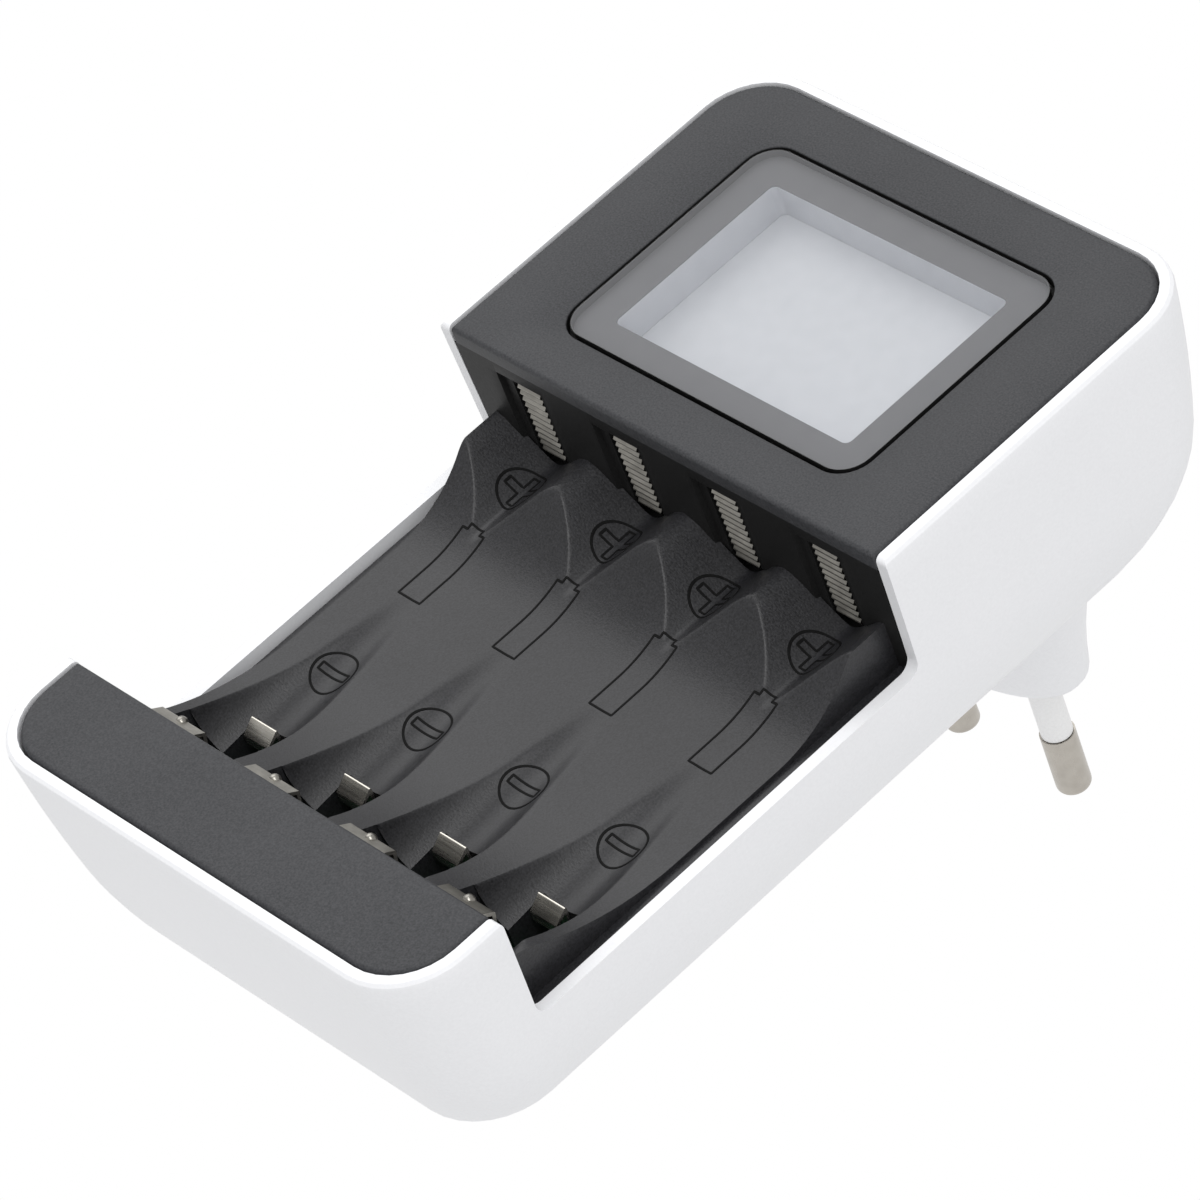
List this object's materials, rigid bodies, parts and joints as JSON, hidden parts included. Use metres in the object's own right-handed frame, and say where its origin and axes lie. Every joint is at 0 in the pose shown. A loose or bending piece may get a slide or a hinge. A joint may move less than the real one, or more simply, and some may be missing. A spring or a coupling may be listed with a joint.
{
  "type": "plug-in battery charger",
  "caption": "Plug-in charger for AA and AAA cells: white rounded housing with a mains plug on its back, dark cover with open cell bays, sprung contacts and a display.",
  "frame": {"origin": "middle of the plug's engagement face, between the two pins", "axes": "+Z out of the display face, away from the socket; +Y along the cell bays from the lip to the display; +X across the bays"},
  "size_m": [0.0686, 0.1138, 0.072],
  "materials": {
    "housing_white": "satin",
    "cover_grey": "fine matt texture",
    "lens": "clear, with a grey printed border",
    "frame_pale": "matt",
    "lcd": "grey display surface",
    "rubber_strip": "matt",
    "board": "solder mask",
    "black_moulding": "matt",
    "steel": "zinc plated",
    "winding": "taped winding",
    "capacitor_sleeve": "shrink sleeve",
    "fuse_body": "matt",
    "copper_strip": "tinned strip",
    "pin_metal": "nickel plated",
    "sleeve_white": "satin",
    "contact_nickel": "nickel plated"
  },
  "bodies": {
    "charger": {"rear_housing": "housing_white", "front_cover": "cover_grey", "display_lens": "lens", "lcd_frame": "frame_pale", "lcd_glass": "lcd", "backlight": "frame_pale", "lcd_connector": "rubber_strip", "control_board": "board", "control_chip": "black_moulding", "control_board_screws": "steel", "board_header": "black_moulding", "main_board": "board", "transformer": "winding", "mains_capacitor": "capacitor_sleeve", "output_capacitor": "capacitor_sleeve", "rectifier": "black_moulding", "fuse": "fuse_body", "pin_lead_left": "copper_strip", "pin_lead_right": "copper_strip", "plug_pin_left": "pin_metal", "plug_pin_right": "pin_metal", "pin_sleeve_left": "sleeve_white", "pin_sleeve_right": "sleeve_white", "housing_screws": "steel", "positive_contact_1": "contact_nickel", "positive_contact_2": "contact_nickel", "positive_contact_3": "contact_nickel", "positive_contact_4": "contact_nickel"},
    "aa_contact_1": {"aa_negative_contact_1": "contact_nickel"},
    "aa_contact_2": {"aa_negative_contact_2": "contact_nickel"},
    "aa_contact_3": {"aa_negative_contact_3": "contact_nickel"},
    "aa_contact_4": {"aa_negative_contact_4": "contact_nickel"},
    "aaa_contact_1": {"aaa_negative_contact_1": "contact_nickel"},
    "aaa_contact_2": {"aaa_negative_contact_2": "contact_nickel"},
    "aaa_contact_3": {"aaa_negative_contact_3": "contact_nickel"},
    "aaa_contact_4": {"aaa_negative_contact_4": "contact_nickel"}
  },
  "joints": [
    {"name": "aa_spring_1", "type": "hinge", "parent": "charger", "child": "aa_contact_1", "pos_m": [-0.0228, -0.0787, 0.0299], "axis": [1, 0, 0], "range_deg": [0, 4.5], "stiffness_Nm_per_rad": 0.7},
    {"name": "aa_spring_2", "type": "hinge", "parent": "charger", "child": "aa_contact_2", "pos_m": [-0.0076, -0.0787, 0.0299], "axis": [1, 0, 0], "range_deg": [0, 4.5], "stiffness_Nm_per_rad": 0.7},
    {"name": "aa_spring_3", "type": "hinge", "parent": "charger", "child": "aa_contact_3", "pos_m": [0.0076, -0.0787, 0.0299], "axis": [1, 0, 0], "range_deg": [0, 4.5], "stiffness_Nm_per_rad": 0.7},
    {"name": "aa_spring_4", "type": "hinge", "parent": "charger", "child": "aa_contact_4", "pos_m": [0.0228, -0.0787, 0.0299], "axis": [1, 0, 0], "range_deg": [0, 4.5], "stiffness_Nm_per_rad": 0.7},
    {"name": "aaa_spring_1", "type": "hinge", "parent": "charger", "child": "aaa_contact_1", "pos_m": [-0.0228, -0.07035, 0.0299], "axis": [1, 0, 0], "range_deg": [0, 12], "stiffness_Nm_per_rad": 0.15},
    {"name": "aaa_spring_2", "type": "hinge", "parent": "charger", "child": "aaa_contact_2", "pos_m": [-0.0076, -0.07035, 0.0299], "axis": [1, 0, 0], "range_deg": [0, 12], "stiffness_Nm_per_rad": 0.15},
    {"name": "aaa_spring_3", "type": "hinge", "parent": "charger", "child": "aaa_contact_3", "pos_m": [0.0076, -0.07035, 0.0299], "axis": [1, 0, 0], "range_deg": [0, 12], "stiffness_Nm_per_rad": 0.15},
    {"name": "aaa_spring_4", "type": "hinge", "parent": "charger", "child": "aaa_contact_4", "pos_m": [0.0228, -0.07035, 0.0299], "axis": [1, 0, 0], "range_deg": [0, 12], "stiffness_Nm_per_rad": 0.15}
  ]
}
